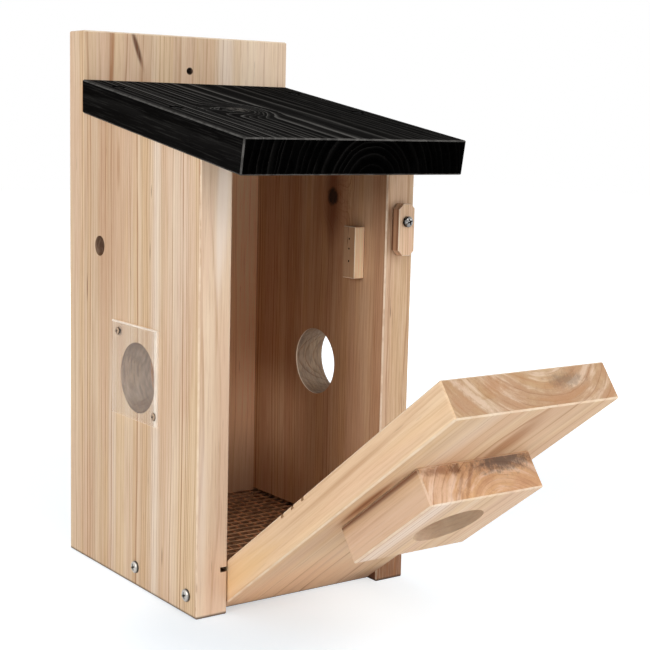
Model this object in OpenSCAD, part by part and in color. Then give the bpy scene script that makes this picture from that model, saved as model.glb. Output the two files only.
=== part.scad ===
// Wooden nest box with a fold-down front.
// +Z is up, the front faces -Y, and the origin is the middle of the flat base.

/* [House] */
// Width across the outer faces of the side boards
house_w = 145; // [120:1:200]
// Depth from the front edges of the side boards to the back face of the back board
house_d = 156; // [140:1:220]
// Height over all, to the top of the back board
house_h = 323; // [308:0.5:400]
// Thickness of the side boards
side_t = 20; // [16:0.5:25]
// Thickness of the back board
back_t = 20; // [16:0.5:25]
// Height of the back board above the roof
back_rise = 29; // [26:0.5:60]
// Thickness of the floor board
floor_t = 20; // [14:0.5:21]
// Small bevel on the open edges of the boards
ease = 0.8; // [0.3:0.1:1.2]

/* [Roof] */
// Thickness of the roof board
roof_t = 19.5; // [14:0.5:25]
// Slope of the roof in degrees
roof_slope = 9.5; // [5:0.5:18]
// Reach of the roof in front of the side boards
roof_over = 43.5; // [25:0.5:80]
// Reach of the roof past each side board
roof_side_over = 1; // [0.5:0.5:15]
// Distance of the rear roof screws down the slope from the back board
roof_screw_rear = 25.5; // [20:0.5:40]
// Distance of the front roof screws down the slope from the back board
roof_screw_front = 94; // [70:0.5:110]

/* [Door] */
// Thickness of the door board
door_t = 20; // [16:0.5:22]
// Gap between the door and each side board
door_side_gap = 0.5; // [0.4:0.1:1.5]
// Gap between the top of the door and the underside of the roof
door_top_gap = 3.8; // [2:0.1:8]
// Height of the pivot above the bottom end of the door
pivot_up = 5.3; // [4:0.1:8]
// Gap below the swinging bottom end of the door
swing_gap = 0.18; // [0.1:0.02:2]
// Angle at which the door stands open
door_open = 53.3; // [0:0.1:80]

/* [Entrance] */
// Diameter of the entrance hole
hole_d = 38; // [28:0.5:45]
// Height of the entrance hole's centre with the door shut
hole_z = 155.7; // [150:0.1:170]
// Width of the guard block round the hole
guard_w = 73; // [60:0.5:84]
// Height of the guard block
guard_h = 73.3; // [60:0.1:80]
// Thickness of the guard block
guard_t = 20; // [12:0.5:30]
// Number of saw kerfs that fledglings climb on the door's inner face
ladder_count = 3; // [1:1:5]
// Distance from kerf to kerf
ladder_pitch = 11.1; // [8:0.1:14]
// Distance from the lower edge of the hole down to the top kerf
ladder_drop = 19.2; // [6:0.1:24]
// Depth of the climbing kerfs
ladder_depth = 2; // [1:0.1:4]

/* [Windows and port] */
// Diameter of the window hole in each side board
view_d = 41; // [25:0.5:43]
// Distance of the window hole from the front edge
view_y = 68; // [60:0.5:76]
// Height of the window hole
view_z = 124.2; // [100:0.1:140]
// Width of the window pane
pane_w = 53.7; // [50:0.1:65]
// Height of the window pane
pane_h = 55.2; // [50:0.1:65]
// Thickness of the window pane
pane_t = 1.5; // [1:0.1:4]
// How far the pane sits towards the back of its hole
pane_back = 2; // [-2:0.1:3]
// How far the pane sits above its hole
pane_up = 3; // [-3:0.1:3.2]
// Distance of the pane's screws from their middle, across and up
pane_screw_off = 21.7; // [19:0.1:22]
// Diameter of the small port in the left side board
port_d = 12; // [6:0.5:20]
// Distance of the port from the front edge
port_y = 115.5; // [108:0.5:122]
// Height of the port
port_z = 196.4; // [180:0.1:205]

/* [Mesh floor] */
// Thickness of the mesh wires
wire_d = 1; // [0.6:0.1:1.2]
// Distance from wire to wire, rounded to fill the floor
mesh_pitch = 6.6; // [5:0.1:13]
// Height of the saw slots that hold the mesh
slot_h = 2.8; // [2.6:0.1:4]
// Depth of the slots in the side boards
slot_depth = 4.6; // [3:0.1:6]
// Height of the slots' middle
slot_z = 26; // [26:0.1:40]

/* [Stop and turn button] */
// Height of the door stop block
stop_l = 30.7; // [24:0.1:45]
// Depth of the door stop block
stop_w = 11.7; // [8:0.1:30]
// Thickness of the door stop block
stop_t = 7; // [4:0.5:12]
// Distance of the stop block's top below the front end of the side boards
stop_drop = 39.8; // [30:0.1:70]
// Length of the turn button
button_l = 30.1; // [26:0.1:38]
// Width of the turn button
button_w = 11.5; // [10:0.5:14]
// Thickness of the turn button
button_t = 6.3; // [4:0.1:12]
// Cut across the corners of the turn button
button_cut = 3.1; // [1:0.1:3.5]
// Distance of the turn button's screw from its near end
button_end = 10.3; // [8:0.1:12]
// Distance of the turn button's screw below the front end of the side boards
button_drop = 35.1; // [26:0.1:60]

/* [Hanging hole] */
// Diameter of the hanging hole in the back board
hang_d = 4.5; // [3:0.1:8]
// Distance of the hanging hole from the top of the back board
hang_drop = 21.3; // [12:0.1:22]

/* [Fasteners] */
// Diameter of the screw shanks
screw_d = 3.8; // [3:0.1:4.5]
// Diameter of the round screw heads
head_d = 7.2; // [6:0.1:9]
// Height of the round screw heads
head_h = 2.2; // [1.5:0.1:3]
// Diameter of the flush screw heads
flat_d = 7; // [6:0.1:8]
// Depth to which the flush heads are sunk below the wood
flat_sink = 0.5; // [0.2:0.1:1]
// Length of the screws below their heads
screw_l = 38; // [34:0.5:42]
// Distance of the floor board's screws from the front edge
floor_screw_y = 69; // [50:0.5:100]
// Distance of the outer back screws from the ends of the side boards
back_screw_end = 34; // [25:0.5:60]
// Distance of the guard block's screws from its edges
guard_screw_inset = 11; // [8:0.5:16]
// Length of the guard block's screws inside it
guard_screw_bite = 10; // [6:0.5:11]
// Diameter of the turn button's screw head
button_head_d = 6.4; // [5.5:0.1:8]
// Height of the turn button's screw head
button_head_h = 2.8; // [1.8:0.1:3.2]
// Length of the turn button's screw below its head
button_screw_l = 28; // [20:0.5:30]
// Diameter of the window screws
pane_screw_d = 2.4; // [1.8:0.1:3]
// Diameter of the window screws' heads
pane_head_d = 4.8; // [4:0.1:6]
// Height of the window screws' heads
pane_head_h = 0.9; // [0.6:0.1:1.6]
// Length of the window screws below their heads
pane_screw_l = 13; // [10:0.5:16]
// Diameter of the brads in the stop block
brad_d = 1.3; // [1:0.1:1.6]
// Length of the brads in the side board
brad_bite = 9; // [6:0.5:12]
// Height of each climbing kerf, cut with the same saw as the mesh slots
kerf_w = 2.8; // [2:0.1:4]

/* [Hidden] */
$fn = 48;

// Clearances between pieces
fit = 0.05;         // a screw shank in its hole, on the radius
turn_gap = 0.3;     // in front of and behind the turn button, and at the door stop
mesh_gap = 0.6;     // the mesh's edges from the ends of their slots
mesh_seat = 0.1;    // the mesh above the lower face of its slots
behind_door = 1;    // the mesh's front edge from the shut door
floor_gap = 0.7;    // the floor board's front edge from the swinging door
eps = 1;            // how far a cut runs past the face that it opens

// Faces of the house
front_y = -house_d / 2;
rear_y = house_d / 2;
wall_y = rear_y - back_t;              // front face of the back board
inner_x = house_w / 2 - side_t;        // inner faces of the side boards
mid_x = house_w / 2 - side_t / 2;      // middle of a side board's thickness
side_d = wall_y - front_y;             // depth of the side boards

// The roof board, whose underside rests on the sloping tops of the side boards
roof_rise = side_d * tan(roof_slope);
roof_top_z = house_h - back_rise;
roof_l = (side_d + roof_over) / cos(roof_slope);
side_front_h = roof_top_z - roof_t / cos(roof_slope) - roof_rise;

// The door shuts flush with the front edges and turns about the pivot screws
swing_r = norm([door_t / 2, pivot_up]);
pivot_y = front_y + door_t / 2;
pivot_z = swing_r + swing_gap;
door_w = house_w - 2 * side_t - 2 * door_side_gap;
door_z0 = pivot_z - pivot_up;
door_z1 = side_front_h - door_top_gap;
shut_y = front_y + door_t;             // inner face of the shut door
guard_screw_l = door_t + guard_screw_bite;

// The floor board and the mesh above it
floor_y0 = pivot_y + swing_r + floor_gap;
mesh_x = inner_x + slot_depth - mesh_gap;
mesh_y0 = shut_y + behind_door;
mesh_y1 = wall_y - turn_gap;
mesh_z = slot_z - slot_h / 2 + mesh_seat;
weld = 0.15 * wire_d;                  // how far crossing wires sink into each other
mesh_nx = round((2 * mesh_x - wire_d) / mesh_pitch);
mesh_ny = round((mesh_y1 - mesh_y0 - wire_d) / mesh_pitch);

// The windows and their screws
view_at = [front_y + view_y, view_z];
pane_at = view_at + [pane_back, pane_up];
pane_screws_at = [view_at[0], pane_at[1]];

// The screws that hold the back board to the side boards
back_screw_z = [back_screw_end, side_front_h / 2, side_front_h - back_screw_end];

// The stop block and its brads
stop_y0 = shut_y + turn_gap;
stop_z = side_front_h - stop_drop;
brad_drops = [0.24, 0.43, 0.67];       // places down the block, as parts of its height
brad_l = stop_t + brad_bite;

// The turn button
button_z = side_front_h - button_drop;
button_back_y = front_y - turn_gap;
button_front_y = button_back_y - button_t;

// A corner of an outline, or the two points that a bevel puts in its place
function unit(v) = v / norm(v);
function corner(a, p, b, c) = c > 0 ? [p + c * unit(a - p), p + c * unit(b - p)] : [p];

// An outline with the corner at each point bevelled by the cut of the same number
function bevelled(pts, cuts) = let (n = len(pts))
    [for (i = [0 : n - 1]) each corner(pts[(i + n - 1) % n], pts[i], pts[(i + 1) % n], cuts[i])];

// A rectangle's corners, anticlockwise from the low corner
function rect(a, b) = [a, [b[0], a[1]], b, [a[0], b[1]]];

// Sweeps an outline of X and Z along Y, or of Y and Z along X
module along_y(y0, y1) {
    translate([0, y1, 0]) rotate([90, 0, 0]) linear_extrude(y1 - y0) children();
}

module along_x(x0, x1) {
    translate([x0, 0, 0]) rotate([90, 0, 90]) linear_extrude(x1 - x0) children();
}

// A board between two corners, with all its edges bevelled
module board(a, b, c = ease) {
    all = [c, c, c, c];
    intersection() {
        translate([0, 0, a[2]]) linear_extrude(b[2] - a[2])
            polygon(bevelled(rect([a[0], a[1]], [b[0], b[1]]), all));
        along_y(a[1], b[1]) polygon(bevelled(rect([a[0], a[2]], [b[0], b[2]]), all));
        along_x(a[0], b[0]) polygon(bevelled(rect([a[1], a[2]], [b[1], b[2]]), all));
    }
}

// A round hole down from the local origin
module drill(d, depth) {
    translate([0, 0, -depth]) cylinder(d = d, h = depth + eps);
}

// A cross recess in the top of a screw head
module cross_recess(reach, depth, top) {
    for (turn = [0, 90])
        rotate([0, 0, turn + 20]) translate([-reach, -reach / 4, top - depth])
            cube([2 * reach, reach / 2, depth + eps]);
}

// A screw with a domed head, whose underside is at the local origin
module round_screw(d, hd, hh, l) {
    dome = [for (a = [0 : 18 : 72]) [hd / 2 * cos(a), hh * (0.35 + 0.65 * sin(a))]];
    difference() {
        rotate_extrude() polygon(concat([[0, -l], [d / 2, d - l], [d / 2, 0], [hd / 2, 0]],
            dome, [[0, hh]]));
        cross_recess(hd * 0.28, hh * 0.6, hh);
    }
}

// A screw with a flush head, sunk below the surface at the local origin
module flat_screw(l) {
    translate([0, 0, -flat_sink]) difference() {
        rotate_extrude() polygon([[0, -l], [screw_d / 2, screw_d - l],
            [screw_d / 2, -(flat_d - screw_d) / 2], [flat_d / 2, 0], [0, 0]]);
        cross_recess(flat_d * 0.28, flat_d * 0.2, 0);
    }
}

// The countersunk hole for a flush screw
module flat_hole(l) {
    drill(screw_d + 2 * fit, l + flat_sink + fit);
    translate([0, 0, -flat_sink - (flat_d - screw_d) / 2])
        cylinder(d1 = screw_d + 2 * fit, d2 = flat_d + 2 * fit, h = (flat_d - screw_d) / 2);
    translate([0, 0, -flat_sink]) cylinder(d = flat_d + 2 * fit, h = flat_sink + eps);
}

module round_hole() {
    drill(screw_d + 2 * fit, screw_l + fit);
}

// The roof's own frame: its rear top edge, with Y up the slope and Z out of the board
module on_roof() {
    translate([0, wall_y, roof_top_z]) rotate([roof_slope, 0, 0]) children();
}

// Each row of fasteners, with Z out of the surface that the heads sit on
module at_roof_screws() {
    on_roof() for (sx = [-1, 1], down = [roof_screw_rear, roof_screw_front])
        translate([sx * mid_x, -down, 0]) children();
}

module at_back_screws() {
    for (sx = [-1, 1], z = back_screw_z)
        translate([sx * mid_x, rear_y, z]) rotate([-90, 0, 0]) children();
}

module at_floor_screws() {
    for (sx = [-1, 1])
        translate([sx * house_w / 2, front_y + floor_screw_y, pivot_z])
            rotate([0, sx * 90, 0]) children();
}

module at_pivots() {
    for (sx = [-1, 1])
        translate([sx * house_w / 2, pivot_y, pivot_z]) rotate([0, sx * 90, 0]) children();
}

module at_pane_screws(sx) {
    for (s = [-1, 1])
        translate([sx * (house_w / 2 + pane_t), pane_screws_at[0] + s * pane_screw_off,
            pane_screws_at[1] + s * pane_screw_off]) rotate([0, sx * 90, 0]) children();
}

module at_guard_screws() {
    for (s = [-1, 1])
        translate([s * (guard_w / 2 - guard_screw_inset), shut_y,
            hole_z + s * (guard_h / 2 - guard_screw_inset)]) rotate([-90, 0, 0]) children();
}

module at_brads() {
    for (part = brad_drops)
        translate([inner_x - stop_t, stop_y0 + stop_w / 2, stop_z - part * stop_l])
            rotate([0, -90, 0]) children();
}

module at_button_screw(y) {
    translate([mid_x, y, button_z]) rotate([90, 0, 0]) children();
}

// The shut door's pieces, swung open about the pivot screws
module swing() {
    translate([0, pivot_y, pivot_z]) rotate([door_open, 0, 0])
        translate([0, -pivot_y, -pivot_z]) children();
}

module back_board() {
    color("burlywood") difference() {
        intersection() {
            linear_extrude(house_h) polygon(bevelled(
                rect([-house_w / 2, wall_y], [house_w / 2, rear_y]), [0, 0, ease, ease]));
            along_y(wall_y, rear_y) polygon(bevelled(
                rect([-house_w / 2, 0], [house_w / 2, house_h]), [ease, ease, ease, ease]));
            along_x(-house_w / 2, house_w / 2) polygon(bevelled(
                rect([wall_y, 0], [rear_y, house_h]), [0, ease, ease, ease]));
        }
        translate([0, rear_y, house_h - hang_drop]) rotate([-90, 0, 0])
            drill(hang_d, back_t + eps);
        at_back_screws() flat_hole(screw_l);
    }
}

// A side board without the port: sx is -1 for the left one and 1 for the right one
module side_board(sx) {
    x0 = sx < 0 ? -house_w / 2 : inner_x;
    outline = [[front_y, 0], [wall_y, 0], [wall_y, side_front_h + roof_rise],
        [front_y, side_front_h]];
    difference() {
        intersection() {
            along_x(x0, x0 + side_t) polygon(bevelled(outline, [ease, 0, 0, 0]));
            linear_extrude(house_h) polygon(bevelled(
                rect([x0, front_y], [x0 + side_t, wall_y]), [ease, ease, 0, 0]));
            along_y(front_y, wall_y) polygon(bevelled(
                rect([x0, 0], [x0 + side_t, house_h]), [ease, ease, 0, 0]));
        }
        translate([sx * inner_x - slot_depth, front_y - eps, slot_z - slot_h / 2])
            cube([2 * slot_depth, side_d + 2 * eps, slot_h]);
        along_x(x0 - eps, x0 + side_t + eps) translate(view_at) circle(d = view_d);
        at_pane_screws(sx) drill(pane_screw_d + 2 * fit, pane_screw_l + fit);
        at_roof_screws() flat_hole(screw_l);
        at_back_screws() flat_hole(screw_l);
        at_floor_screws() round_hole();
        at_pivots() round_hole();
    }
}

module left_side() {
    color("wheat") difference() {
        side_board(-1);
        along_x(-house_w / 2 - eps, -inner_x + eps)
            translate([front_y + port_y, port_z]) circle(d = port_d);
    }
}

module right_side() {
    color("tan") difference() {
        side_board(1);
        at_button_screw(button_front_y - turn_gap)
            drill(screw_d + 2 * fit, button_screw_l + fit);
        at_brads() drill(brad_d + 2 * fit, brad_l + fit);
    }
}

module roof_board() {
    w = house_w / 2 + roof_side_over;
    color("dimgray") difference() {
        on_roof() board([-w, -roof_l, -roof_t], [w, ease + roof_t, 0]);
        translate([-w - eps, wall_y, side_front_h - roof_t])
            cube([2 * (w + eps), 2 * roof_t, roof_rise + 4 * roof_t]);
        at_roof_screws() flat_hole(screw_l);
    }
}

module floor_board() {
    color("peru") difference() {
        translate([-inner_x, floor_y0, 0]) cube([2 * inner_x, wall_y - floor_y0, floor_t]);
        at_floor_screws() round_hole();
    }
}

// One straight wire of eight sides from the local origin along Z
module wire(l) {
    rotate([0, 0, 22.5]) cylinder(d = wire_d / cos(22.5), h = l, $fn = 8);
}

module floor_mesh() {
    step_x = (2 * mesh_x - wire_d) / mesh_nx;
    step_y = (mesh_y1 - mesh_y0 - wire_d) / mesh_ny;
    low_z = mesh_z + wire_d / 2;
    color("rosybrown") union() {
        for (i = [0 : mesh_nx])
            translate([-mesh_x + wire_d / 2 + i * step_x, mesh_y1, low_z])
                rotate([90, 0, 0]) wire(mesh_y1 - mesh_y0);
        for (j = [0 : mesh_ny])
            translate([-mesh_x, mesh_y0 + wire_d / 2 + j * step_y, low_z + wire_d - weld])
                rotate([0, 90, 0]) wire(2 * mesh_x);
    }
}

module window_pane(sx) {
    x0 = sx < 0 ? -house_w / 2 - pane_t : house_w / 2;
    half = [pane_w, pane_h] / 2;
    difference() {
        along_x(x0, x0 + pane_t) polygon(rect(pane_at - half, pane_at + half));
        at_pane_screws(sx) drill(pane_screw_d + 2 * fit, pane_t + eps);
    }
}

module left_window() {
    color("lightcyan", 0.5) window_pane(-1);
}

module right_window() {
    color("lightcyan", 0.5) window_pane(1);
}

module window_screws() {
    color("silver") for (sx = [-1, 1]) at_pane_screws(sx)
        round_screw(pane_screw_d, pane_head_d, pane_head_h, pane_screw_l);
}

module roof_screws() {
    color("black") at_roof_screws() flat_screw(screw_l);
}

module back_screws() {
    color("silver") at_back_screws() flat_screw(screw_l);
}

module floor_screws() {
    color("silver") at_floor_screws() round_screw(screw_d, head_d, head_h, screw_l);
}

module pivot_screws() {
    color("silver") at_pivots() round_screw(screw_d, head_d, head_h, screw_l);
}

module door_stop() {
    color("burlywood") difference() {
        board([inner_x - stop_t, stop_y0, stop_z - stop_l],
            [inner_x, stop_y0 + stop_w, stop_z], ease / 2);
        at_brads() drill(brad_d + 2 * fit, brad_l + fit);
    }
}

module stop_brads() {
    color("gray") at_brads() translate([0, 0, -brad_l]) cylinder(d = brad_d, h = brad_l);
}

// The turn button stands upright on its screw, with its long end down
module turn_button() {
    low = [mid_x - button_w / 2, button_z + button_end - button_l];
    high = [mid_x + button_w / 2, button_z + button_end];
    cut = [button_cut, button_cut, button_cut, button_cut];
    rim = ease / 2;
    color("navajowhite") difference() {
        intersection() {
            along_y(button_front_y, button_back_y) polygon(bevelled(rect(low, high), cut));
            along_x(low[0], high[0]) polygon(bevelled(
                rect([button_front_y, low[1]], [button_back_y, high[1]]), [rim, 0, 0, rim]));
            linear_extrude(house_h) polygon(bevelled(
                rect([low[0], button_front_y], [high[0], button_back_y]), [rim, rim, 0, 0]));
        }
        at_button_screw(button_front_y) drill(screw_d + 2 * fit, button_t + eps);
    }
}

module button_screw() {
    color("silver") at_button_screw(button_front_y - turn_gap)
        round_screw(screw_d, button_head_d, button_head_h, button_screw_l);
}

module door_board() {
    ladder_z = hole_z - hole_d / 2 - ladder_drop;
    color("burlywood") swing() difference() {
        board([-door_w / 2, front_y, door_z0], [door_w / 2, shut_y, door_z1]);
        along_y(front_y - eps, shut_y + eps) translate([0, hole_z]) circle(d = hole_d);
        for (i = [0 : ladder_count - 1])
            translate([-door_w / 2 - eps, shut_y - ladder_depth,
                ladder_z - i * ladder_pitch - kerf_w / 2])
                cube([door_w + 2 * eps, ladder_depth + eps, kerf_w]);
        at_pivots() round_hole();
        at_guard_screws() flat_hole(guard_screw_l);
    }
}

module hole_guard() {
    color("navajowhite") swing() difference() {
        board([-guard_w / 2, front_y - guard_t, hole_z - guard_h / 2],
            [guard_w / 2, front_y, hole_z + guard_h / 2]);
        along_y(front_y - guard_t - eps, front_y + eps) translate([0, hole_z])
            circle(d = hole_d);
        at_guard_screws() flat_hole(guard_screw_l);
    }
}

module guard_screws() {
    color("silver") swing() at_guard_screws() flat_screw(guard_screw_l);
}

back_board();
left_side();
right_side();
roof_board();
floor_board();
floor_mesh();
left_window();
right_window();
window_screws();
roof_screws();
back_screws();
floor_screws();
door_stop();
stop_brads();
turn_button();
button_screw();
door_board();
hole_guard();
guard_screws();
pivot_screws();
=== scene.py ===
"""Looks of a wooden nest box with a black roof and a fold-down door: materials, camera and light.

Metres, +Z up, front facing -Y, origin in the middle of the flat base. Places and sizes on the
boards, the screws and the panes are given in millimetres.
"""

import math

import bmesh
import bpy
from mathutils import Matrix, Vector


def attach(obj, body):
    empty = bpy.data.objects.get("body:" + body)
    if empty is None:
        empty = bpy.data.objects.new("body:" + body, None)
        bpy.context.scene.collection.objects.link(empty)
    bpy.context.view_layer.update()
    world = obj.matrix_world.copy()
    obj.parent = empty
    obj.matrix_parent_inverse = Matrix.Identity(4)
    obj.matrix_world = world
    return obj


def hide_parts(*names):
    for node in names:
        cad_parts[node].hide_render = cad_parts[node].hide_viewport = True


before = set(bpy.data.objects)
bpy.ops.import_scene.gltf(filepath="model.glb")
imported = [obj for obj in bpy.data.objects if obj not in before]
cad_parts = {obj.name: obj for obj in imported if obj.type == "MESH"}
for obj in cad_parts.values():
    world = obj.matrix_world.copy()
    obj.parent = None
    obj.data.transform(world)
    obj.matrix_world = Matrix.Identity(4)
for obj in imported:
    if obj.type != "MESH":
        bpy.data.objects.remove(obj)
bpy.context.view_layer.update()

MM = 0.001
X, Y, Z = 0, 1, 2

# ---------------------------------------------------------------- camera

CAMERA_AT = Vector((-0.45769, -0.72273, 0.27328))
CAMERA_TURN = (81.798, -1.353, -35.785)     # degrees about X, Y and Z
CAMERA_LENS, CAMERA_SENSOR = 78.63, 36      # mm
CAMERA_CLIP = (0.05, 20)


def add_camera():
    data = bpy.data.cameras.new("camera")
    data.lens = CAMERA_LENS
    data.sensor_width = CAMERA_SENSOR
    data.clip_start, data.clip_end = CAMERA_CLIP
    camera = bpy.data.objects.new("camera", data)
    camera.location = CAMERA_AT
    camera.rotation_euler = [math.radians(a) for a in CAMERA_TURN]
    bpy.context.scene.collection.objects.link(camera)
    bpy.context.scene.camera = camera


# ---------------------------------------------------------------- node graphs

MIX_A, MIX_B, MIX_RESULT = 6, 7, 2          # a Mix node's colour sockets
WHITE = (1, 1, 1)


class Graph:
    """Short calls for the nodes of one material or world.

    A value may be a number, a tuple or another node's socket.
    """

    def __init__(self, owner, out="OutputMaterial"):
        owner.use_nodes = True
        self.owner = owner
        self.tree = owner.node_tree
        self.tree.nodes.clear()
        self.out = self.node(out)

    def put(self, socket, value):
        if isinstance(value, bpy.types.NodeSocket):
            self.tree.links.new(value, socket)
        elif socket.type == "RGBA":
            socket.default_value = (*value, 1)
        elif value is not None:
            socket.default_value = value

    def node(self, kind, *values, **settings):
        """A node with these settings, whose first sockets take the values in their order."""
        n = self.tree.nodes.new("ShaderNode" + kind)
        for key, value in settings.items():
            setattr(n, key, value)
        for socket, value in zip(n.inputs, values):
            self.put(socket, value)
        return n

    def named(self, n, **values):
        """The node n, whose sockets of these names take the values. _ stands for a space."""
        for key, value in values.items():
            self.put(n.inputs[key.replace("_", " ")], value)
        return n

    def finish(self, shader):
        self.put(self.out.inputs["Surface"], shader)
        return self.owner

    def math(self, op, a, b=None, c=None):
        return self.node("Math", a, b, c, operation=op).outputs[0]

    def add(self, a, b):
        return self.math("ADD", a, b)

    def mul(self, a, b):
        return self.math("MULTIPLY", a, b)

    def madd(self, a, b, c):
        return self.math("MULTIPLY_ADD", a, b, c)

    def most(self, a, b):
        return self.math("MAXIMUM", a, b)

    def size(self, a):
        return self.math("ABSOLUTE", a)

    def below(self, a, limit):
        return self.math("LESS_THAN", a, limit)

    def span(self, value, low, high, to_low=0.0, to_high=1.0):
        """From to_low to to_high while the value goes from low to high."""
        return self.node("MapRange", value, low, high, to_low, to_high,
                         interpolation_type="SMOOTHSTEP").outputs[0]

    def vec(self, x, y, z=0.0):
        return self.node("CombineXYZ", x, y, z).outputs[0]

    def split(self, v):
        return self.node("SeparateXYZ", v).outputs

    def vmath(self, op, a, b):
        return self.node("VectorMath", a, b, operation=op).outputs[0]

    def length(self, v):
        return self.node("VectorMath", v, operation="LENGTH").outputs["Value"]

    def noise(self, v, scale=1.0, detail=2.0, rough=0.5, distort=0.0, out="Fac"):
        n = self.node("TexNoise", noise_dimensions="3D")
        self.named(n, Vector=v, Scale=scale, Detail=detail, Roughness=rough, Distortion=distort)
        return n.outputs[out]

    def noise_1d(self, w, scale, detail):
        n = self.node("TexNoise", noise_dimensions="1D")
        return self.named(n, W=w, Scale=scale, Detail=detail).outputs["Fac"]

    def random(self, w):
        n = self.node("TexWhiteNoise", noise_dimensions="1D")
        return self.named(n, W=w).outputs["Value"]

    def jitter(self, noise, power, rest=0.0):
        """The rest, moved by a noise about its middle."""
        return self.madd(self.add(noise, -0.5), power, rest)

    def ramp(self, value, stops):
        """A grey level between those at the stops."""
        n = self.node("ValToRGB", value)
        while len(n.color_ramp.elements) < len(stops):
            n.color_ramp.elements.new(0.5)
        for element, (at, level) in zip(n.color_ramp.elements, stops):
            element.position = at
            element.color = (level, level, level, 1)
        return n.outputs[0]

    def mix(self, share, a, b, blend="MIX"):
        n = self.node("Mix", share, data_type="RGBA", blend_type=blend)
        self.put(n.inputs[MIX_A], a)
        self.put(n.inputs[MIX_B], b)
        return n.outputs[MIX_RESULT]

    def bump(self, height, strength, distance):
        n = self.node("Bump")
        return self.named(n, Height=height, Strength=strength, Distance=distance).outputs[0]

    def principled(self, colour, rough, normal, **uniform):
        n = self.node("BsdfPrincipled")
        self.named(n, Base_Color=colour, Roughness=rough, Normal=normal, **uniform)
        return n.outputs[0]

    def either(self, share, first, second):
        """The first shader, and the second one by its share."""
        return self.node("MixShader", share, first, second).outputs[0]

    def seen(self):
        """1 for what the camera sees, also by way of a gloss or through a pane."""
        path = self.node("LightPath").outputs
        return self.most(path["Is Camera Ray"],
                         self.most(path["Is Glossy Ray"], path["Is Transmission Ray"]))


def rgb(*shown):
    """A linear colour from values of 0 to 255 as a screen shows them."""
    return tuple(c / 255 / 12.92 if c <= 10 else ((c / 255 + 0.055) / 1.055) ** 2.4
                 for c in shown)


def times(colour, k):
    return tuple(c * k for c in colour)


# ---------------------------------------------------------------- wood

EVER = 900                                  # half length of a mark that runs the whole board
FACES = (0.6, 0.8)                          # a surface begins to face a way, and does so
ENDS = (0.75, 0.9)                          # the same for end grain
BEVELS = (0.3, 0.6)
BORE_WALLS = (0.3, 0.6)
RING_LEVELS = [(0.0, 0.04), (0.5, 0.03), (0.8, 0.3), (0.9, 1.0), (0.96, 0.9), (1.0, 0.04)]
KNOT_REACH, KNOT_PUSH = 3.4, 2.6            # how rings bend round a knot, in its radii
FOOT_SHADE = (0.6, 2.2)                           # height of the painted contact shade at the lower end
SINK_RIM = 0.4

# scales of the noises across, through and along a board, per millimetre
SWAY = (0.012, 0.012, 0.0035)
TREMBLE = (0.11, 0.11, 0.012)
BREAKS = (0.12, 0.12, 0.012)
STREAKS = (0.2, 0.2, 0.0035)
BLUSH = (0.06, 0.06, 0.006)
FIBRES = (1.1, 1.1, 0.03)
DASHES = (0.8, 0.8, 0.045)
HAIRS, CLOUDS = (1.1, 0.5, 0.0), (0.3, 0.3, 0.0)
RUBBED = (0.15, 0.15, 0.15)
ROUGH_CUT = (0.16, 0.7, 0.16)

# Tones. dark, halo, grey and pore also serve below for painted shade, and edge for painted
# highlight.
PALE = dict(
    light=rgb(227, 203, 174), mid=rgb(213, 184, 153), late=rgb(166, 114, 73),
    warm=rgb(230, 184, 146), pink=rgb(216, 183, 155), pore=rgb(98, 60, 38),
    knot=rgb(66, 38, 24), halo=rgb(128, 80, 50), white=rgb(234, 217, 200),
    gold=rgb(218, 184, 138), brown=rgb(168, 120, 82), grey=rgb(92, 76, 66),
    edge=rgb(246, 228, 204), fibre=rgb(232, 210, 184), dark=rgb(52, 32, 20),
    heart=rgb(32, 17, 10))
# painted sheen: the grey late, fibre and edge tones of the black stain stand partly for the sheen
# that the roof's lack of gloss leaves out
BLACK = dict(
    light=rgb(17, 16, 16), mid=rgb(8, 8, 8), late=rgb(112, 110, 107), pink=rgb(18, 17, 16),
    pore=rgb(3, 3, 3), knot=rgb(104, 100, 95), halo=rgb(34, 33, 32), white=rgb(8, 8, 8),
    gold=rgb(20, 19, 18), brown=rgb(3, 3, 3), edge=rgb(104, 102, 99), fibre=rgb(44, 43, 42),
    dark=rgb(3, 3, 3), heart=rgb(30, 29, 28))


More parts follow.
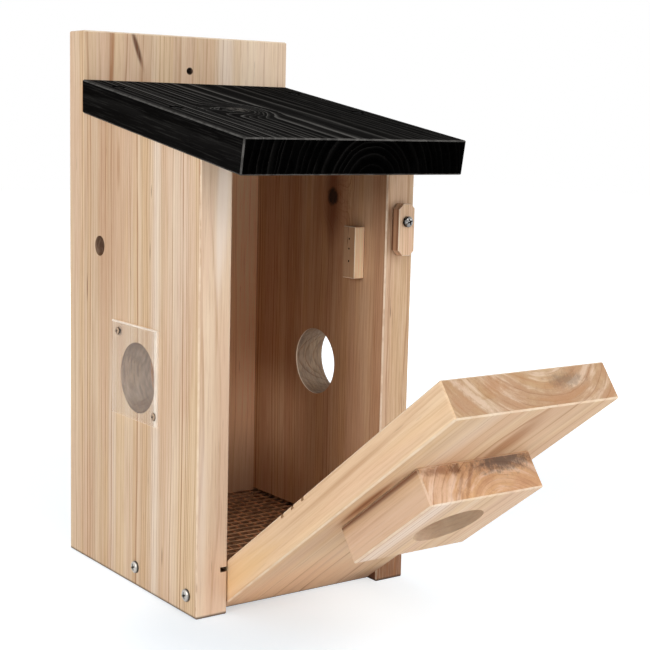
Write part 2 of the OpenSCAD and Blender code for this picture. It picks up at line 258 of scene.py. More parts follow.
class Wood(Graph):
    """The graph of one board.

    u, v and w are a point's place across, through and along the board, and nu, nv and nw tell
    how far its surface faces those ways. base is the colour so far.
    """

    def __init__(self, name, across, along, origin, tilt, seed, tones):
        super().__init__(bpy.data.materials.new(name))
        self.seed, self.tones = seed, tones
        coords = self.node("TexCoord").outputs
        place = self.vmath("SUBTRACT", coords["Object"], tuple(origin))
        facing = coords["Normal"]
        if tilt:
            place, facing = self.turned(place, tilt), self.turned(facing, tilt)
        scale = self.named(self.node("VectorMath", operation="SCALE"), Vector=place, Scale=1 / MM)
        places, faces = self.split(scale.outputs[0]), self.split(facing)
        through = X + Y + Z - across - along
        order = (across, through, along)
        self.u, self.v, self.w = (places[k] for k in order)
        self.nu, self.nv, self.nw = (self.size(faces[k]) for k in order)

    def turned(self, v, tilt):
        n = self.node("VectorRotate", rotation_type="X_AXIS")
        return self.named(n, Vector=v, Angle=-tilt).outputs[0]

    def point(self, scales, du=0.0, dw=0.0):
        """The place for a noise, scaled each way and shifted across and along."""
        ku, kv, kw = scales
        return self.vec(self.madd(self.u, ku, du), self.mul(self.v, kv), self.madd(self.w, kw, dw))

    def away(self, a, b, at, scale_a=1.0, scale_b=1.0, lean=0.0):
        """Distance in the directions a and b from the place at, scaled in both."""
        off_a, off_b = self.add(a, -at[0]), self.add(b, -at[1])
        if lean:
            off_a = self.madd(off_b, -lean, off_a)
        return self.length(self.vec(self.mul(off_a, scale_a), self.mul(off_b, scale_b)))

    def stain(self, share, tone):
        self.base = self.mix(share, self.base, self.tones[tone])

    def dye(self, share, tint):
        if tint != WHITE:
            self.base = self.mix(share, self.base, self.mix(1.0, self.base, tint, "MULTIPLY"))

    def blotch(self, mark, a, b, fray, core, rim=1.0, only=None):
        """A mark in the directions a and b, full strength in its core and gone at its rim."""
        *at, half_a, half_b, strength, tone, lean = mark
        off = self.add(fray, self.away(a, b, at, 1 / half_a, 1 / half_b, lean))
        share = self.span(off, core, rim, strength, 0.0)
        self.stain(self.mul(only, share) if only else share, tone)

    def grow(self, pith, ring, knots, waves, even, calm):
        """Rings with a thin line of late wood each, stronger in some rings, round any knots."""
        sway = self.split(self.noise(self.point(SWAY, self.seed), out="Color"))
        off_u = self.jitter(sway[X], 2 * waves, self.add(self.u, -pith[0]))
        off_v = self.jitter(sway[Y], 2 * waves, self.add(self.v, -pith[1]))
        fine = self.noise(self.point(TREMBLE, self.seed))
        self.radius = self.jitter(fine, 1.5, self.length(self.vec(off_u, off_v)))
        self.knots = [self.knot(*knot) for knot in knots]
        rings = self.madd(self.noise_1d(self.radius, 0.06, 2), 4.0, self.mul(self.radius, 1 / ring))
        line = self.ramp(self.math("FRACT", rings), RING_LEVELS)
        breaks = self.noise(self.point(BREAKS, dw=self.seed))
        line = self.mul(line, self.span(breaks, 0.3, 0.55, 0.5, 1.0))
        own = self.math("POWER", self.random(self.math("FLOOR", rings)), 1.8)
        line = self.mul(line, self.madd(own, 0.86 - even, 0.14 + even))
        if calm:
            start, full, left = calm
            line = self.mul(line, self.span(self.u, start, full, 1.0, left))
        self.line = line

    def knot(self, at_u, at_w, r):
        """Bend the rings round a knot. Gives where the knot and the darker wood round it are."""
        ragged = self.noise(self.vec(self.mul(self.u, 0.3), self.mul(self.w, 0.3), self.seed + r),
                            detail=3)
        away = self.jitter(ragged, 0.5, self.away(self.u, self.w, (at_u, at_w), 1 / r, 0.95 / r))
        bend = self.span(away, 0.0, KNOT_REACH, 1.0, 0.0)
        self.radius = self.madd(bend, KNOT_PUSH * r, self.radius)
        flare = self.away(self.u, self.w, (at_u, at_w), 0.6 / r, 0.15 / r)
        return self.span(away, 0.55, 1.0, 1.0, 0.0), self.span(flare, 0.1, 1.0, 0.75, 0.0)

    def tone(self):
        """Streaks of the light tone in the middle one, gold rings and pink patches."""
        self.streak = self.noise(self.point(STREAKS, self.seed), detail=4, rough=0.55)
        band = self.noise_1d(self.add(self.radius, self.seed), 0.05, 1)
        pale = self.span(self.madd(self.streak, 0.5, self.mul(band, 0.5)), 0.41, 0.59)
        self.base = self.mix(pale, self.tones["mid"], self.tones["light"])
        hue = self.noise_1d(self.add(self.radius, self.seed + 40), 0.1, 2)
        self.stain(self.span(hue, 0.46, 0.6, 0.0, 0.4), "gold")
        blush = self.noise(self.point(BLUSH, self.seed + 7), detail=1)
        self.stain(self.span(blush, 0.44, 0.64, 0.0, 0.7), "pink")

    def figure(self, fibres, dashes):
        """Dark and pale fibres, short dark pores, and the knots."""
        self.fibre = self.noise(self.point(FIBRES), detail=4, rough=0.7)
        self.stain(self.span(self.fibre, 0.3, 0.52, fibres, 0.0), "late")
        self.stain(self.span(self.fibre, 0.5, 0.7, 0.0, fibres), "fibre")
        dash = self.noise(self.point(DASHES, dw=self.seed), detail=1)
        self.stain(self.span(dash, 0.74, 0.82, 0.0, dashes), "pore")
        for spot, halo in self.knots:
            self.stain(halo, "halo")
            curl = self.noise(self.vec(self.mul(self.u, 0.22), self.mul(self.w, 0.1), self.seed),
                              detail=3, distort=2.5)
            folds = self.span(self.size(self.add(curl, -0.5)), 0.0, 0.1)
            whorl = self.mix(folds, self.tones["knot"], self.tones["heart"])
            self.base = self.mix(spot, self.base, whorl)

    def end_grain(self, tint, marks):
        """Darker end grain, with brown and white arcs along the rings and frayed marks."""
        on_end = self.span(self.nw, *ENDS)
        self.dye(on_end, tint)
        across = self.madd(self.u, 0.035, self.seed)
        swirl = self.noise(self.vec(self.mul(self.radius, 0.22), across, self.mul(self.v, 0.035)),
                           detail=4, rough=0.6)
        self.stain(self.mul(on_end, self.span(swirl, 0.34, 0.5, 0.45, 0.0)), "brown")
        self.stain(self.mul(on_end, self.span(swirl, 0.52, 0.68, 0.0, 0.4)), "white")
        if marks:
            hair = self.noise(self.point(HAIRS, self.seed), detail=4, rough=0.7)
            cloud = self.noise(self.point(CLOUDS, self.seed), detail=3)
            frayed = self.jitter(hair, 1.2, self.jitter(cloud, 1.2))
        for mark in marks:
            self.blotch(mark, self.u, self.v, frayed, 0.2, 1.1, on_end)

    def paint_inside_light_and_shade(self, depth, top, tint, low):
        """Painted light and shade on the side that faces the box's inside: a tint, darker on the
        sides and lighter on the back board, and more painted shade towards the mesh.
        """
        inner = self.mul(self.span(self.nv, *FACES), self.below(self.v, depth))
        inner = self.mul(inner, self.below(self.w, top))
        self.dye(inner, tint)
        full, start, strength = low
        self.stain(self.mul(inner, self.span(self.w, full, start, strength, 0.0)), "halo")

    def rub_and_light_edges(self, edges, all_edges):
        """Pale edges, partly rubbed wear and partly painted highlight: their bevels face between
        two of the board's own directions.
        """
        bevel = self.math("MINIMUM", self.nv, self.most(self.nu, self.nw))
        if all_edges:
            bevel = self.most(bevel, self.math("MINIMUM", self.nu, self.nw))
        rubbed = self.noise(self.point(RUBBED, dw=self.seed), detail=3)
        worn_and_lit = self.mul(self.span(bevel, *BEVELS), self.span(rubbed, 0.35, 0.6, 0.5, 1.0))
        self.stain(self.mul(worn_and_lit, edges), "edge")

    def paint_slot_shade(self, at, half, depth):
        """A saw slot across the board, with painted shade inside it."""
        within = self.mul(self.below(self.size(self.add(self.w, -at)), half),
                          self.below(self.size(self.v), depth))
        self.stain(self.mul(within, self.span(self.nu, 0.4, 0.6, 0.9, 0.0)), "dark")

    def paint_sink_shade(self, at_u, at_w, r):
        # painted shade: a dark ring round a countersunk head
        away = self.away(self.u, self.w, (at_u, at_w))
        self.stain(self.span(away, r, r + SINK_RIM, 0.95, 0.0), "dark")

    def paint_bore(self, at_u, at_w, r, strength, tone, highlight_rim_at=None):
        """The wall of a hole, roughly cut, toned with painted shade (painted light where the tone
        is pale), and a painted highlight on its rim at that place through the board.
        """
        away = self.away(self.u, self.w, (at_u, at_w))
        wall = self.mul(self.span(away, r + 0.2, r + 0.5, 1.0, 0.0),
                        self.span(self.nv, *BORE_WALLS, 1.0, 0.0))
        rough_cut = self.noise(self.point(ROUGH_CUT), detail=4)
        shade = self.span(rough_cut, 0.35, 0.65, strength, 0.7 * strength)
        self.stain(self.mul(wall, shade), tone)
        if highlight_rim_at is not None:
            rim = self.span(self.size(self.add(self.v, -highlight_rim_at)), 0.5, 0.9, 0.8, 0.0)
            self.stain(self.mul(wall, rim), "edge")


def wood(name, across, along, pith, ring, seed, tones=PALE, origin=(0, 0, 0), tilt=0.0,
         knots=(), waves=5.0, even=0.03, calm=None, contrast=1.15, front_lines=1.0, fibres=0.3,
         dashes=0.5, marks=(), marks_to=EVER, end_marks=(), front_marks=(), tint=WHITE,
         front_tone_and_light=WHITE, end_tint=(0.9, 0.83, 0.76), inside=None,
         inside_light_tint=(0.75, 0.61, 0.52), inside_low_shade=(22, 28, 0.8), edges=0.7, all_edges=False,
         foot_shade=None, slot=None, sinks=(), bores=(), rough=0.66, relief=0.12, gloss=0.3):
    """Sawn softwood: growth rings round a pith, with fibres, pores, knots and stains.

    across and along are the board's own axes, and tilt is how far it leans about X, at its
    origin. pith is the rings' centre (across, through), and ring is their width.
    knots: (across, along, radius) each.
    waves, even: how far rings sway, and how alike they are.
    calm: (from, full at, share left) across the board, where the rings' lines fade.
    contrast, front_lines: strength of those lines, and their share on the long narrow faces.
    fibres, dashes: strength of the fibres and of the short dark pores.
    marks: (across, along, half width, half length, strength, tone, lean) each, on the faces
    that lie at less than marks_to through the board. end_marks are given the same way on the
    end grain (across, through), and front_marks on the long narrow faces (through, along).
    inside: (through, along), the limits of the side that faces the box's inside, which
    inside_light_tint tints with painted shade (painted light where it is lighter).
    inside_low_shade: (full to, from, strength) along the board, where painted shade darkens that
    side.
    edges: strength of the pale edges, rubbed wear and painted highlight, with all_edges also of
    those along the thickness.
    foot_shade: where the painted contact shade at the lower end lies along the board.
    slot: (along, half height, through), a slot with painted shade inside. sinks: (across, along,
    radius) each, painted shade round countersunk heads.
    bores: (across, along, radius, strength, tone, place of a rim with a painted highlight through)
    each; the tone is painted shade on the hole's wall, painted light where it is pale.
    """
    g = Wood(name, across, along, origin, tilt, seed, tones)
    g.grow(pith, ring, knots, waves, even, calm)
    g.tone()
    outside = g.below(g.v, marks_to) if marks_to != EVER else None
    for mark in marks:
        g.blotch(mark, g.u, g.w, g.jitter(g.streak, 0.8), 0.25, only=outside)
    line_power = g.span(g.nu, *FACES, contrast, contrast * front_lines)
    g.stain(g.mul(g.line, line_power), "late")
    g.figure(fibres, dashes)
    g.end_grain(end_tint, end_marks)
    on_front = g.span(g.nu, *FACES)
    for mark in front_marks:
        g.blotch(mark, g.v, g.w, g.jitter(g.streak, 1.2), 0.2, only=on_front)
    # the long narrow faces' own tone, partly painted light and shade on those faces
    g.dye(on_front, front_tone_and_light)
    if inside:
        # painted light and shade on the side that faces the box's inside
        g.paint_inside_light_and_shade(*inside, inside_light_tint, inside_low_shade)
    g.dye(1.0, tint)
    # pale edges: rubbed wear and painted highlight
    g.rub_and_light_edges(edges, all_edges)
    # painted contact shade along the lower end, where the board meets the floor
    if foot_shade is not None:
        low, high = FOOT_SHADE
        g.stain(g.span(g.w, foot_shade + low, foot_shade + high, 0.85, 0.0), "dark")
    if slot:
        g.paint_slot_shade(*slot)
    for hole in sinks:
        g.paint_sink_shade(*hole)
    for hole in bores:
        g.paint_bore(*hole)
    height = g.madd(g.line, -0.6, g.mul(g.fibre, 0.9))
    shine = g.madd(g.fibre, 0.22, rough - 0.11)
    surface = g.bump(height, 0.35, relief * MM)
    return g.finish(g.principled(g.base, shine, surface, Specular_IOR_Level=gloss))


# ---------------------------------------------------------------- metal

# scales of the noises, per metre
SCRATCHES = (2600, 2600, 900)
STAINS, WIRE_STAINS = 420, 160
GRAIN = 1500


def plated(name, colour, rough, axis, top, depth, dark):
    """Plated steel with faint scratches, with painted shade in the recess and round the skirt of a
    head.

    The heads' tops lie at the distance top from the frame's origin along the axis. dark is the
    share of the colour that is left as painted shade where the head goes down by depth.
    """
    g = Graph(bpy.data.materials.new(name))
    place = g.node("TexCoord").outputs["Object"]
    cloud = g.noise(place, STAINS, 3, 0.6)
    scratch = g.noise(g.vmath("MULTIPLY", place, SCRATCHES))
    base = g.mix(g.span(cloud, 0.42, 0.72, 0.0, 0.4), colour, times(colour, 0.5))
    out = g.size(g.mul(g.split(place)[axis], 1 / MM))
    # painted shade in the recess and round the skirt of the head
    low = g.span(out, top - depth, top - 0.3 * depth, 1.0, 0.0)
    base = g.mix(low, base, times(colour, dark))
    shine = g.madd(cloud, 0.22, g.madd(scratch, 0.12, rough - 0.17))
    surface = g.bump(g.madd(scratch, 0.9, cloud), 0.18, 0.05 * MM)
    return g.finish(g.principled(base, shine, surface, Metallic=1.0))


def tarnished(name, colour, rough, stains, flanks):
    """Stained or painted metal. flanks is how dark it is where it faces front or back."""
    g = Graph(bpy.data.materials.new(name))
    coords = g.node("TexCoord").outputs
    cloud = g.noise(coords["Object"], stains, 3, 0.6)
    fine = g.noise(coords["Object"], GRAIN)
    base = g.mix(g.span(cloud, 0.4, 0.65), colour, times(colour, 0.45))
    if flanks:
        facing = g.size(g.split(coords["Normal"])[Y])
        base = g.mix(g.span(facing, 0.1, 0.5, 0.0, flanks), base, times(colour, 0.1))
    surface = g.bump(fine, 0.3, 0.08 * MM)
    return g.finish(g.principled(base, g.madd(fine, 0.25, rough - 0.12), surface, Metallic=0.8))


# ---------------------------------------------------------------- window panes

HOUSE_HALF = 72.5
PANE_W, PANE_H, PANE_T = 53.7, 55.2, 1.5
PANE_AT = (-8.0, 127.2)                     # Y and Z of the pane's middle
PANE_SCREWS_AT = (-10.0, 127.2)             # Y and Z of the middle between its screws
PANE_SCREW_OFF = 21.7
PANE_HOLE_R, PANE_HOLE_SIDES = 1.25, 32
PANE_ROUND = 0.2                            # polished edge of the sheet
PANE_LIFT = 0.05                            # gap between the sheet and the wood
FRONT_BORDER, TOP_BORDER = (3.2, 2.6), (1.3, 0.8)   # width of the painted highlight along the sheet's edges, and where full
BORDER_SHARE = 0.74
ACRYLIC_IOR = 1.49
CLEAR = 0.03                                # what clear acrylic holds back
HAZE = 0.2                                  # what its outer face does
FLAT = 0.9                                  # X of the normal on the sheet's two faces
SMEARS, HAIRLINES = 60, (400, 2200, 500)    # scales of its noises, per metre


def acrylic(name, colour, held, rough, edge_glow=None):
    """Acrylic sheet that hides the share held of what lies behind it.

    From its back, and for lamps, it hides no more than CLEAR. edge_glow is a painted
    highlight: the pale tone that the sheet's lit edges lend to the face next to them.
    """
    g = Graph(bpy.data.materials.new(name))
    place = g.node("TexCoord").outputs["Object"]
    cloud = g.noise(place, SMEARS, 3, 0.6)
    fine = g.noise(g.vmath("MULTIPLY", place, HAIRLINES), detail=3)
    tone = g.mix(cloud, times(colour, 0.94), colour)
    share = g.madd(cloud, 0.02, held - 0.01)
    # painted highlight near the sheet's edges
    if edge_glow:
        at = g.split(place)
        front = g.madd(at[Y], -1 / MM, PANE_AT[0])
        top = g.madd(at[Z], 1 / MM, -PANE_AT[1])
        near = g.most(g.span(front, *(PANE_W / 2 - b for b in FRONT_BORDER)),
                      g.span(top, *(PANE_H / 2 - b for b in TOP_BORDER)))
        near = g.mul(near, g.span(cloud, 0.3, 0.6, 0.75, 1.0))
        tone = g.mix(near, tone, edge_glow)
        share = g.madd(near, BORDER_SHARE - held, share)
    shine = g.madd(cloud, 0.08, g.madd(fine, 0.05, rough))
    sheet = g.principled(tone, shine, g.bump(fine, 0.05, 0.03 * MM), IOR=ACRYLIC_IOR)
    passing = g.node("BsdfTransparent", (0.995, 0.995, 0.995)).outputs[0]
    unseen = g.most(g.node("LightPath").outputs["Is Shadow Ray"],
                    g.node("NewGeometry").outputs["Backfacing"])
    share = g.mul(share, g.madd(unseen, CLEAR / held - 1, 1.0))
    return g.finish(g.either(share, passing, sheet))


def add_pane(node, side, outer_face, inner_face, rim):
    """A sheet with polished edges and two screw holes; side is -1 on the left, 1 on the right."""
    bm = bmesh.new()

    def loop(points, out):
        verts = [bm.verts.new((side * out * MM, y * MM, z * MM)) for y, z in points]
        return verts, [bm.edges.new((a, b)) for a, b in zip(verts, verts[1:] + verts[:1])]

    def outline(inset):
        hy, hz = PANE_W / 2 - inset, PANE_H / 2 - inset
        return [(PANE_AT[0] + a * hy, PANE_AT[1] + b * hz)
                for a, b in ((-1, -1), (1, -1), (1, 1), (-1, 1))]

    def circle(s):
        y, z = (c + s * PANE_SCREW_OFF for c in PANE_SCREWS_AT)
        turns = [math.tau * k / PANE_HOLE_SIDES for k in range(PANE_HOLE_SIDES)]
        return [(y + PANE_HOLE_R * math.cos(t), z + PANE_HOLE_R * math.sin(t)) for t in turns]

    def bridge(first, second):
        n = len(first[0])
        for k in range(n):
            a, b = first[0][k], first[0][(k + 1) % n]
            c, d = second[0][(k + 1) % n], second[0][k]
            bm.faces.new((a, b, c, d))

    inner, outer = HOUSE_HALF + PANE_LIFT, HOUSE_HALF + PANE_T
    rims = [loop(outline(PANE_ROUND), inner), loop(outline(0), inner + PANE_ROUND),
            loop(outline(0), outer - PANE_ROUND), loop(outline(PANE_ROUND), outer)]
    for first, second in zip(rims, rims[1:]):
        bridge(first, second)
    caps = [list(rims[0][1]), list(rims[-1][1])]
    for s in (-1, 1):
        low, high = loop(circle(s), inner), loop(circle(s), outer)
        bridge(low, high)
        caps[0] += low[1]
        caps[1] += high[1]
    for edges in caps:
        bmesh.ops.triangle_fill(bm, use_beauty=True, use_dissolve=False, edges=edges)
    bmesh.ops.recalc_face_normals(bm, faces=bm.faces)
    mesh = bpy.data.meshes.new(node + "_sheet")
    bm.to_mesh(mesh)
    bm.free()
    for material in (outer_face, inner_face, rim):
        mesh.materials.append(material)
    for polygon in mesh.polygons:
        out = side * polygon.normal.x
        polygon.material_index = 0 if out > FLAT else 1 if out < -FLAT else 2
    piece = bpy.data.objects.new(node + "_sheet", mesh)
    bpy.context.scene.collection.objects.link(piece)
    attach(piece, "house")
    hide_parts(node)


# ---------------------------------------------------------------- stage and light

FLOOR_SIZE = 8
FLOOR_TONE = (0.86, 0.86, 0.86)             # as it lights the object
FLOOR_SEEN = (0.44, 0.5, 0.56)              # as the camera sees it, with a glow added
FLOOR_SHADOW_AT = (-0.06, -0.1, 0)                # where a painted shadow lies on the floor, under the open door's low end
GLOW_FAR = (0.3, 0.8, 0.0, 0.3)             # distances from the origin, and the glow at both
FLOOR_SHADOW_GLOW = (0.02, 0.1, 0.5, 0.7)           # the same from that place: the glow is weaker there, a painted shadow
WORLD_LEVEL = 0.12

LAMPS = [
    # name, place, target, size, power
    ("left_rear", (-1.25, 0.25, 0.75), (0, 0, 0.14), (0.9, 0.9), 3.0),
    ("left_key", (-1.3, -0.45, 0.6), (0, -0.05, 0.14), (0.5, 0.5), 9.0),
    ("right_front", (1.0, -1.25, 0.55), (0, -0.05, 0.14), (0.9, 0.9), 8.0),
    ("front_high", (-0.15, -1.0, 1.25), (0, -0.05, 0.14), (0.8, 0.8), 7.5),
    ("right_grazing", (1.2, -0.55, 0.45), (0, -0.1, 0.14), (0.6, 0.6), 1.5),
    ("floor_front", (0.1, -0.75, 0.02), (0, -0.2, 0.2), (0.9, 0.3), 1.0),
    ("back", (0.3, 1.4, 0.7), (0, 0, 0.14), (0.9, 0.9), 10.0),
]


def add_stage():
    """A white floor. The camera sees it lit faintly over a white glow, which is weaker at the door
    as a painted shadow.
    """
    bpy.ops.mesh.primitive_plane_add(size=FLOOR_SIZE, location=(0, 0, 0))
    floor = bpy.context.object
    floor.name = "floor"
    g = Graph(bpy.data.materials.new("floor"))
    place = g.node("TexCoord").outputs["Object"]
    from_door = g.length(g.vmath("SUBTRACT", place, FLOOR_SHADOW_AT))
    level = g.add(g.span(g.length(place), *GLOW_FAR), g.span(from_door, *FLOOR_SHADOW_GLOW))
    glow = g.node("Emission", WHITE, level)
    both = g.node("AddShader", g.node("BsdfDiffuse", FLOOR_SEEN).outputs[0], glow.outputs[0])
    full = g.node("BsdfDiffuse", FLOOR_TONE)
    floor.data.materials.append(g.finish(g.either(g.seen(), full.outputs[0], both.outputs[0])))


def add_world():
    """Weak even light, and a white background for what is seen."""
    g = Graph(bpy.data.worlds.new("studio"), "OutputWorld")
    soft, white = (g.node("Background", WHITE, level).outputs[0] for level in (WORLD_LEVEL, 1.0))
    bpy.context.scene.world = g.finish(g.either(g.seen(), soft, white))


def add_lamp(name, at, target, size, power):
    data = bpy.data.lights.new(name, "AREA")
    data.shape = "RECTANGLE"
    data.size, data.size_y = size
    data.energy = power
    lamp = bpy.data.objects.new(name, data)
    lamp.location = at
    lamp.rotation_euler = (Vector(target) - Vector(at)).to_track_quat("-Z", "Y").to_euler()
    bpy.context.scene.collection.objects.link(lamp)
    lamp.visible_camera = False


# ---------------------------------------------------------------- dressing

SIDE_WINDOW = (-10, 124.2, 20.5)            # across, along and radius
SIDE_PORT = (37.5, 196.4, 6)
HANGING_HOLE = (0, 301.7, 2.3)
GUARD_HOLE = (0, 144.2, 19)
SIDE_SLOT = (26, 1.5, 60)                   # along, half height and through
SIDE_INNER = 52.5                           # X of the right side board's inner face
INNER_LIMIT = 60                            # between the inner and outer faces of boards
UNDER_ROOF = 274                            # the roof's height on the back board
DOOR = dict(origin=Vector((0, -0.068, 0.0114977)), tilt=math.radians(53.3))     # at its pivot
ROOF = dict(origin=Vector((0, 0.058, 0.294)), tilt=math.radians(9.5))   # at its rear top edge
ROOF_SINKS = [(x, y, 3.9) for x in (-62.5, 62.5) for y in (-25.5, -94)]

SCREW_TONE = rgb(196, 190, 182)
PLATED = [
    # node, material, colour, roughness, axis, place of the tops, depth, tone of the painted shade
    # down there
    ("window_screws", "window_screw_steel", rgb(178, 152, 128), 0.3, X, 74.9, 0.7, 0.06),
    ("floor_screws", "floor_screws_steel", SCREW_TONE, 0.3, X, 74.7, 1.5, 0.16),
    ("pivot_screws", "pivot_screws_steel", SCREW_TONE, 0.3, X, 74.7, 1.5, 0.16),
    ("button_screw", "button_screw_steel", rgb(138, 136, 134), 0.22, Y, 87.7, 2.1, 0.05),
]
TARNISHED = [
    # node, material, colour, roughness, scale of its stains, darkness of its flanks
    ("back_screws", "back_screw_steel", SCREW_TONE, 0.4, STAINS, 0.0),
    ("guard_screws", "guard_screw_steel", SCREW_TONE, 0.4, STAINS, 0.0),
    ("stop_brads", "brad_steel", rgb(60, 42, 32), 0.5, STAINS, 0.0),
    ("roof_screws", "black_screw", rgb(4, 4, 4), 0.8, STAINS, 0.0),
    ("floor_mesh", "mesh_wire", rgb(228, 176, 134), 0.5, WIRE_STAINS, 0.55),
]


def dress(node, material):
    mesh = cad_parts[node].data
    mesh.materials.clear()
    mesh.materials.append(material)
    for polygon in mesh.polygons:
        polygon.material_index = 0


def dress_sides():
    dress("left_side", wood(
        "left_side_wood", across=Y, along=Z, pith=(300, -170), ring=2.5, seed=1.3,
        contrast=1.85, front_lines=0.2, tint=(0.98, 0.98, 0.97), front_tone_and_light=(1.14, 1.17, 1.24),
        edges=0.5, foot_shade=0, slot=SIDE_SLOT,
        # bores: painted shade on the walls of the port and the window hole
        bores=((*SIDE_PORT, 0.8, "pore"), (*SIDE_WINDOW, 0.75, "grey")),
        front_marks=((-58, 232, 6, 60, 0.7, "white", 0.05), (-67, 205, 3, 50, 0.5, "pink", 0.06),
                     (-56, 120, 7, 60, 0.25, "pink", -0.04), (-69, 60, 4, 70, 0.4, "white", 0)),
        marks=((-31, 120, 7, EVER, 0.8, "white", 0), (21, 70, 6, 120, 0.5, "white", 0),
               (-58, 50, 22, 90, 0.5, "edge", 0), (-64, 45, 14, 80, 0.5, "gold", 0),
               (-56, 210, 20, 120, 0.4, "white", 0), (46, 60, 6, 110, 0.35, "brown", 0),
               (-14, 60, 10, 90, 0.25, "pink", 0), (36, 225, 46, 110, 0.3, "brown", 0),
               (4, 190, 3, 60, 0.3, "gold", 0), (-24, 198, 0.7, 8, 0.9, "pore", 0),
               (-25, 232, 0.6, 6, 0.8, "pore", 0), (54, 170, 0.8, 11, 0.8, "pore", 0),
               (69, 215, 0.8, 7, 0.8, "pore", 0), (-40, 26, 0.7, 8, 0.7, "pore", 0),
               (14, 246, 3, 22, 0.5, "brown", 0))))
    dress("right_side", wood(
        "right_side_wood", across=Y, along=Z, pith=(190, 150), ring=2.2, seed=5.1,
        knots=((-25, 227.8, 6.6),), contrast=1.3, fibres=0.45, front_tone_and_light=(0.93, 0.9, 0.88),
        # inside: painted shade on the inner face, deepest towards the mesh
        inside=(INNER_LIMIT, EVER), foot_shade=0, slot=SIDE_SLOT,
        # bores: painted shade on the window hole's wall, painted highlight on its inner rim
        bores=((*SIDE_WINDOW, 0.7, "grey", SIDE_INNER),),
        # the halo mark low at the front is a painted shadow of the open door on the foot
        marks=((18, 190, 16, 120, 0.2, "halo", 0), (-77, 8, 12, 22, 0.85, "halo", 0),
               (-24, 226, 22, 34, 0.6, "brown", 0))))


def dress_back():
    dress("back_board", wood(
        "back_board_wood", across=X, along=Z, pith=(-150, 240), ring=2.7, seed=9.4,
        # inside: painted light on the back board's inner face, painted shade towards the mesh
        contrast=0.95, inside=(INNER_LIMIT, UNDER_ROOF), inside_light_tint=(1.36, 1.2, 1.08),
        # bores: painted shade in the hanging hole
        inside_low_shade=(20, 90, 0.75), foot_shade=0, bores=((*HANGING_HOLE, 0.95, "dark"),),
        marks=((26, 200, 9, EVER, 0.7, "white", 0), (54, 200, 28, EVER, 0.45, "edge", 0),
               (-37, 314, 2.3, 16, 1.0, "pore", -0.33), (-33, 296, 4, 14, 0.4, "brown", 0))))


def dress_small_wood():
    dress("floor_board", wood(
        "floor_board_wood", across=Y, along=X, pith=(5, -70), ring=3.0, seed=3.2,
        # painted shade: the floor board under the mesh darkened
        tint=(0.34, 0.26, 0.2)))
    dress("door_stop", wood(
        "door_stop_wood", across=Y, along=Z, pith=(-40, 90), ring=2.2, seed=4.4,
        # painted shade on the whole block, painted light on its front face and a painted highlight
        # along its edge (the edge mark)
        tint=(0.62, 0.5, 0.42), front_tone_and_light=(2.7, 3.6, 4.3), edges=1.0,
        marks=((-51, 211, 0.5, 7, 0.8, "pore", 0), (-50.3, 203, 0.45, 4, 0.8, "pore", 0),
               (-46.3, 212, 0.4, 16, 0.5, "edge", 0))))
    dress("turn_button", wood(
        "turn_button_wood", across=X, along=Z, pith=(20, -40), ring=1.7, seed=6.6,
        contrast=1.5, tint=(1.1, 1.07, 1.07), front_tone_and_light=(0.66, 0.51, 0.41),
        end_tint=(0.6, 0.5, 0.4), edges=1.0,
        # painted shadow: dark lines along the rear edge of the narrow faces, from the gap behind
        # the button
        front_marks=((-78.3, 216, 2.0, EVER, 0.95, "pore", 0),
                     (-82.9, 216, 1.0, EVER, 0.6, "halo", 0))))


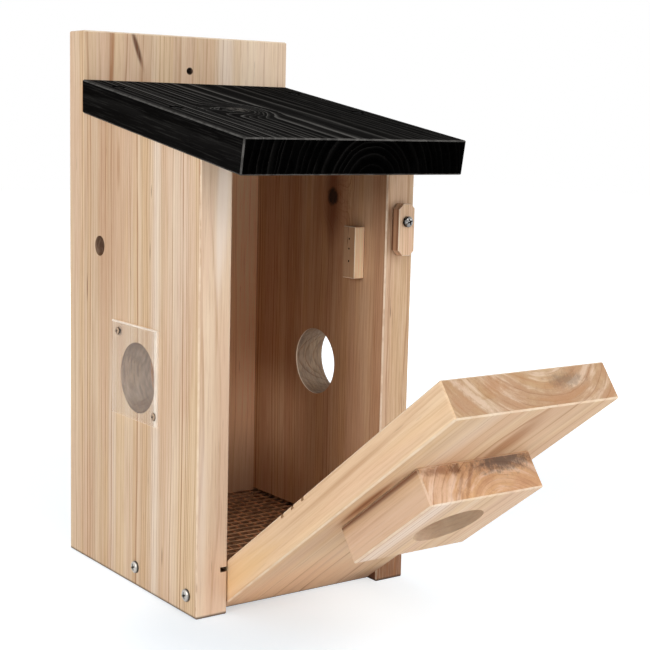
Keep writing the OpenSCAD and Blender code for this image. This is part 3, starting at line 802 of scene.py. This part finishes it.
def dress_door():
    calm_grain = dict(fibres=0.2, dashes=0.2, edges=0.6)
    dress("door_board", wood(
        "door_board_wood", across=X, along=Z, pith=(12, 36), ring=3.4, seed=2.2,
        contrast=0.7, tint=(1.12, 1.08, 1.02), end_tint=(0.64, 0.57, 0.51),
        foot_shade=-4.7, marks_to=-2,
        front_marks=((0, 20, 12, 60, 0.7, "gold", 0), (3, 150, 2, 90, 0.4, "brown", 0.02)),
        # the marks at -41 across are partly stain, partly painted shade along the guard's side
        marks=((11, 200, 9, 38, 0.9, "brown", 0), (-41, 140, 5.5, 36, 1.0, "brown", 0),
               # the edge-toned mark low on the face is painted light, in place of light from low in
               # front
               (-41, 140, 2, 34, 0.7, "halo", 0), (0, 30, 60, 70, 0.4, "edge", 0),
               (-10, 15, 60, 60, 0.5, "warm", 0), (20, 225, 30, 40, 0.3, "pink", 0),
               # the last mark, at the low right corner, is painted shade by the floor
               (-30, 215, 12, 60, 0.4, "white", 0), (54, -4, 34, 30, 0.65, "halo", 0)),
        end_marks=((-22, 4, 9, 6, 0.6, "brown", 0), (23, 3, 15, 5, 0.5, "grey", 0.4),
                   (-37, 0, 4, 16, 0.4, "white", -0.9)), **DOOR, **calm_grain))
    dress("hole_guard", wood(
        "hole_guard_wood", across=X, along=Z, pith=(13, -46), ring=2.8, seed=8.3,
        contrast=0.8, tint=(1.2, 1.2, 1.22), front_tone_and_light=(0.78, 0.72, 0.66),
        # bores: painted light on the entrance hole's wall
        end_tint=(0.76, 0.62, 0.5), bores=((*GUARD_HOLE, 0.6, "edge"),),
        # partly stain, partly painted shade where the guard's side meets the door
        front_marks=((-11, 144, 3.2, EVER, 0.8, "halo", 0),),
        marks=((-29, 144, 10, EVER, 0.85, "white", 0), (-20, 144, 1.2, EVER, 0.4, "pink", 0)),
        end_marks=((17, -13, 26, 7, 0.85, "grey", 0), (-24, -13, 14, 3, 0.6, "halo", 0),
                   (-14, -13, 5, 4, 0.7, "pore", 0), (-8, -20, 1.8, 14, 0.5, "halo", 0.65),
                   (-14, -21, 1.5, 14, 0.4, "halo", 0.65)), **DOOR, **calm_grain))


def dress_roof():
    dress("roof_board", wood(
        "roof_board_wood", across=X, along=Y, pith=(9, -24), ring=4.2, seed=7.7,
        tones=BLACK, knots=((-23.5, -96, 8),), waves=3.0, even=0.3, calm=(2, 26, 0.4),
        contrast=1.1, front_lines=0.12, fibres=0.14, front_tone_and_light=(0.55, 0.55, 0.55),
        end_tint=(0.055, 0.055, 0.055), all_edges=True, sinks=ROOF_SINKS,
        # gloss is off: the black stain's grey lines and edges carry painted sheen
        rough=0.6, relief=0.3, gloss=0.0, **ROOF))


def dress_metal():
    for make, rows in ((plated, PLATED), (tarnished, TARNISHED)):
        for node, *look in rows:
            dress(node, make(*look))


def dress_panes():
    hazy = acrylic("hazy_sheet", rgb(205, 188, 176), HAZE, 0.1, edge_glow=rgb(246, 232, 214))
    clear = acrylic("clear_sheet", rgb(230, 226, 220), CLEAR, 0.05)
    # painted highlight: the polished rim nearly opaque and pale, as its lit edges look
    rim = acrylic("sheet_rim_glow", rgb(250, 238, 222), 0.9, 0.3)
    for node, side in (("left_window", -1), ("right_window", 1)):
        add_pane(node, side, hazy, clear, rim)


add_camera()
add_stage()
add_world()
for lamp in LAMPS:
    add_lamp(*lamp)
dress_sides()
dress_back()
dress_small_wood()
dress_door()
dress_roof()
dress_metal()
dress_panes()
bpy.context.scene.view_settings.view_transform = "Standard"
